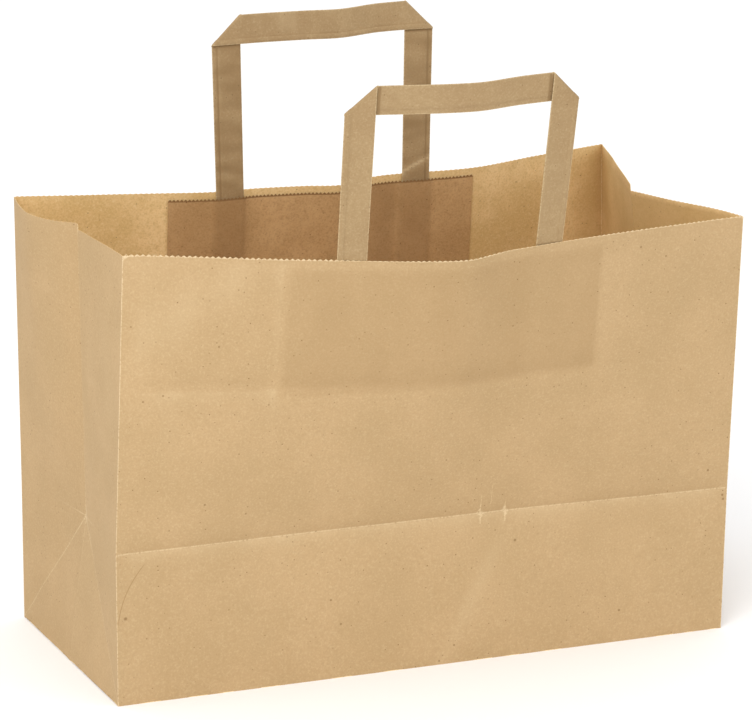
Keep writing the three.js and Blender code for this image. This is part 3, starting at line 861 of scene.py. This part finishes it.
def patch(name, stretch):
    """Makes the patch inside a panel."""
    label = Paper()
    shift = handle_shift[stretch.name]
    cells = round(patch_width / patch_tooth_pitch)
    head = stretch.cut - patch_drop
    foot = head - patch_height
    leg_end = head - leg_tail
    steps = round(patch_height / patch_row)
    heights = [foot + patch_height * k / steps for k in range(steps + 1)]
    heights = heights[:1] + [foot + edge_shade, foot + 2 * edge_shade] + heights[1:-1]
    heights += [head - 2 * edge_shade, head - edge_shade, head]
    wall_side = paper + glue_gap
    lift = handle_thickness + glue_gap
    previous = None
    for height in heights:
        to_cut = min(height - foot, head - height)
        line_of_points = []
        for k in range(cells + 1):
            along = shift + patch_width * (0.5 - k / cells)
            over = max(
                1 - fade(abs(along - leg), handle_width / 2, handle_width / 2 + patch_ramp)
                for leg in legs_of(stretch)
            )
            over *= fade(height, leg_end - patch_ramp, leg_end)
            ripple = patch_ripple * (1 + buckle(along, height, ripple_size, ripple_seed))
            depth = wall_side + lift * over + ripple
            point, inward = on_panel(stretch, along, height, depth + paper)
            above = on_wall(stretch, along, height + patch_tooth_depth) - on_wall(stretch, along, height)
            climb = above if height == head else -above
            # Painted shade over a leg, where the extra plies hold back light, and the patch's painted shade
            # elsewhere
            shade = leg_shade * over + smooth_curve(patch_shade, 1 - k / cells) * (1 - over)
            dark = max(shade, cut_shade * fade(to_cut, edge_shade, 0))
            line_of_points.append(label.add(point, to_cut, 0.0, dark, to_cut == 0, climb))
        if previous:
            label.strip(previous, line_of_points)
        previous = line_of_points
    made = label.piece(name, [patch_paper, cut_edge])
    cut_out(made, patch_tooth_pitch, 0.0, cut_shade, paper)
    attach(made, "root")
    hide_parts(stretch.name + "_patch")


patch("front_patch_label", front)
patch("rear_patch_label", rear)


# The handles: a strip of kraft folded to several plies and glued flat, with its free edge showing
# as a step along one side. It is folded over at 45 degrees at each shoulder, so its grip crosses on
# the bag's inner side, and its legs pass down behind the patch.
handle_rise = 0.099
handle_splay = 0.0018
grip_bow = 0.5
handle_tilt = {"front": 11, "rear": 0}
fold_steps = 8
# The shadow line beside a shoulder starts this far past the fold, and is this long
lap_gap = 0.0001
lap_edge = 0.0012
leg_step = 0.004
row_step = 0.0015
wrinkle_length = 0.005
# A painted highlight across a leg: how wide, and how light
bend_width = 0.0016
bend_painted_highlight = 1.2
# A painted highlight along the strip's folded edges
edge_painted_highlight = 0.6
seam_band = 0.02
handle_paper = kraft("folded_kraft_strip", "#a58b65", "#9c815c", "#cbb48d", "#8b704c", "#6e5433", 0.6)


def handle(name, stretch, leg_painted_shade, seam_dark, wrinkle_painted_shade, bend=None):
    """Makes the handle of a panel, from the foot of its left leg over both shoulders to the foot of the right
    one. A bend is a painted highlight across the left leg, given by its heights above the mouth at the
    strip's two edges."""
    strip = Paper()
    shift, spacing = handle_shift[stretch.name], handle_spacing[stretch.name]
    tilt = math.radians(handle_tilt[stretch.name])
    outward = -1 if stretch is front else 1
    up = Vector((0, outward * math.sin(tilt), math.cos(tilt)))
    reach = handle_width / 2
    half_ply = handle_thickness / 2
    leg_depth = paper + glue_gap + half_ply
    turn_radius = (handle_thickness + glue_gap) / 2
    grip_depth = leg_depth + 2 * turn_radius
    foot = handle_rise - handle_width
    left, right = legs_of(stretch)
    span_from, span_to = left + reach, right - reach
    slid = turn_radius * math.sqrt(2)
    laps = [slid + lap_gap, slid + lap_edge]

    def on_mouth(along):
        return on_wall(stretch, along, stretch.cut), inward_on(stretch, along, stretch.cut)

    def above(along, rise, depth):
        """A place above the mouth. Between the legs the strip is straighter than the mouth."""
        spread = handle_splay * (along - shift) / (spacing / 2) * (rise / handle_rise)
        point, inward = on_mouth(along + spread)
        if span_from < along < span_to:
            (one, inward_one), (two, inward_two) = on_mouth(span_from), on_mouth(span_to)
            share = (along - span_from) / (span_to - span_from)
            point = point.lerp(one.lerp(two, share), 1 - grip_bow)
            inward = inward.lerp(inward_one.lerp(inward_two, share), 1 - grip_bow)
        return point + inward * depth + up * rise, inward

    def row_at(a, b, depth, turn, push):
        """The strip's two edges at one place on its way, and the direction through it."""
        (one, inward_one), (two, inward_two) = above(*a, depth), above(*b, depth)
        inward = (inward_one + inward_two).normalized()
        return [one, two, (inward * math.cos(turn) - push * math.sin(turn)).normalized()]

    def leg_rows(leg):
        """A leg behind its patch, where it follows the panel."""
        head = stretch.cut - patch_drop
        rows = []
        steps = round(leg_tail / leg_step)
        for k in range(steps + 1):
            height = head - leg_tail * (1 - k / steps)
            (one, inward_one), (two, inward_two) = (
                on_panel(stretch, leg + side * reach, height, leg_depth) for side in (-1, 1)
            )
            rows.append([one, two, (inward_one + inward_two).normalized()])
        return rows

    def rising_rows(leg):
        """A leg above the mouth."""
        steps = round((foot - laps[-1]) / row_step)
        rises = [(foot - laps[-1]) * k / steps for k in range(steps + 1)] + [foot - laps[0]]
        return [row_at((leg - reach, rise), (leg + reach, rise), leg_depth, 0, up) for rise in rises]

    def shoulder(side):
        """The turn over a slanting fold. Its rows slide as they turn, from the leg to the grip."""
        leg = right if side > 0 else left
        inner, outer = (leg - side * reach, handle_rise), (leg + side * reach, foot)
        origin, face = above(*inner, 0)
        along = (above(*outer, 0)[0] - origin).normalized()
        away = along.cross(face.normalized()).normalized() * side
        rows = []
        for step in range(fold_steps + 1):
            turn = math.pi * step / fold_steps
            depth = leg_depth + turn_radius * (1 - math.cos(turn))
            a, b = (outer, inner) if side < 0 else (inner, outer)
            one, two, through = row_at(a, b, depth, turn, away)
            slide = up.lerp(away * math.sqrt(2) - up, (1 - math.cos(turn)) / 2) * math.sqrt(2)
            push = (away * math.sin(turn) - slide) * turn_radius
            rows.append([one + push, two + push, through])
        return rows

    def grip_rows():
        """The grip, from one shoulder to the other, with a shadow line beside each."""
        start, end = span_from + patch_ramp, span_to - patch_ramp
        steps = round((end - start) / leg_step)
        stations = [start + (end - start) * k / steps for k in range(steps + 1)]
        stations = [span_from + lap for lap in laps] + stations
        stations += [span_to - lap for lap in reversed(laps)]
        return [row_at((s, foot), (s, handle_rise), grip_depth, math.pi, up) for s in stations]

    rising, falling = (
        leg_rows(leg) + rising_rows(leg) + shoulder(side) for leg, side in ((left, -1), (right, 1))
    )
    leg_end = len(rising) - fold_steps - 1
    path = rising + grip_rows() + [[two, one, through] for one, two, through in reversed(falling)]
    lapped = [leg_end - 1, len(rising), len(path) - len(falling) - 1, len(path) - leg_end]

    # The section: round at both edges, with a step where the outer ply ends
    seam = 0.18
    seam_slope = 0.015
    step_down = 0.7
    flat_shares = [0.3, 0.4, 0.5, 0.6, 0.7, 0.8, 0.9]
    section = [(0.0, 0.55), (0.0, -0.55), (0.03, -1.0), (seam / 2, -1.0), (seam, -1.0)]
    section += [(seam + seam_slope, -step_down)]
    section += [(share, -step_down) for share in flat_shares]
    section += [(0.97, -step_down), (1.0, -0.4), (1.0, 0.4), (0.97, 1.0)]
    section += [(share, 1.0) for share in reversed(flat_shares)]
    section += [(seam + seam_slope, 1.0), (seam, step_down), (seam / 2, step_down), (0.03, step_down)]
    rings = []
    middles = [(one + two) / 2 for one, two, through in path]
    travelled = 0.0
    for k, (one, two, through) in enumerate(path):
        on_leg = k < leg_end or k >= len(path) - leg_end
        travelled += (middles[k] - middles[max(k - 1, 0)]).length
        ring = []
        for across, out in section:
            to_edge = min(across, 1 - across) * handle_width
            at_seam = abs(across - seam) < seam_band
            point = one.lerp(two, across) + through * half_ply * out
            # Painted shade on the legs, for the rear handle, whose legs lie in shade
            dark = leg_painted_shade if on_leg else 0.0
            # Painted light and shade of wrinkles across the strip, as noise along its length
            dark += wrinkle_painted_shade * noise.noise(Vector((travelled / wrinkle_length, across, leg_painted_shade)))
            if bend and k < leg_end:
                off = point.z - stretch.cut - bend[0] - (bend[1] - bend[0]) * across
                dark -= bend_painted_highlight * hump(off, bend_width)
            if at_seam and abs(out) == step_down:
                dark += seam_dark
            # A painted shadow line on the inner face beside each shoulder, where the plies lap
            if k in lapped and out > 0:
                dark = 1.0
            # The strip's edges carry a painted highlight
            ring.append(strip.add(point, to_edge, edge_painted_highlight, dark))
        rings.append(ring)
    for ring, following in zip(rings, rings[1:]):
        strip.strip(following + following[:1], ring + ring[:1])
    strip.faces.append(tuple(rings[0]))
    strip.faces.append(tuple(reversed(rings[-1])))
    made = strip.piece(name, [handle_paper])
    freeze(made)
    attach(made, "root")
    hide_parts(stretch.name + "_handle")


handle("front_handle_strip", front, 0.0, 0.3, 0.25)
handle("rear_handle_strip", rear, 0.4, 0.6, 0.5, (0.0045, -0.0035))


# The studio: a pale seamless floor and soft light from all round, with a large lamp high on the
# left and a weaker one on the right, so that the front and the left gusset are nearly as bright.
scene = bpy.context.scene
scene.view_settings.view_transform = "Standard"

floor_mesh = bpy.data.meshes.new("floor")
floor_half = 6.0
floor_corners = [(x * floor_half, y * floor_half, 0) for x, y in ((-1, -1), (1, -1), (1, 1), (-1, 1))]
floor_mesh.from_pydata(floor_corners, [], [(0, 1, 2, 3)])
floor = bpy.data.objects.new("floor", floor_mesh)
scene.collection.objects.link(floor)
backdrop = bpy.data.materials.new("pale_backdrop")
backdrop.use_nodes = True
backdrop_look = backdrop.node_tree.nodes["Principled BSDF"].inputs
backdrop_look["Base Color"].default_value = srgb("#fdfdfd")
backdrop_look["Roughness"].default_value = 0.9
floor_mesh.materials.append(backdrop)

world = bpy.data.worlds.new("studio")
scene.world = world
world.use_nodes = True
world.node_tree.nodes["Background"].inputs["Color"].default_value = (1, 1, 1, 1)
world.node_tree.nodes["Background"].inputs["Strength"].default_value = 1.0


lamp_target = Vector((0, 0, 0.1))


def soft_lamp(name, place, size, watts):
    """Adds a square lamp that faces the bag."""
    lamp_data = bpy.data.lights.new(name, "AREA")
    lamp_data.size = size
    lamp_data.energy = watts
    lamp = bpy.data.objects.new(name, lamp_data)
    lamp.location = place
    lamp.rotation_euler = (Vector(place) - lamp_target).to_track_quat("Z", "Y").to_euler()
    scene.collection.objects.link(lamp)


soft_lamp("key_lamp", (-1.45, -1.85, 1.9), 1.4, 36)
soft_lamp("fill_lamp", (1.8, -1.4, 1.4), 1.6, 3)
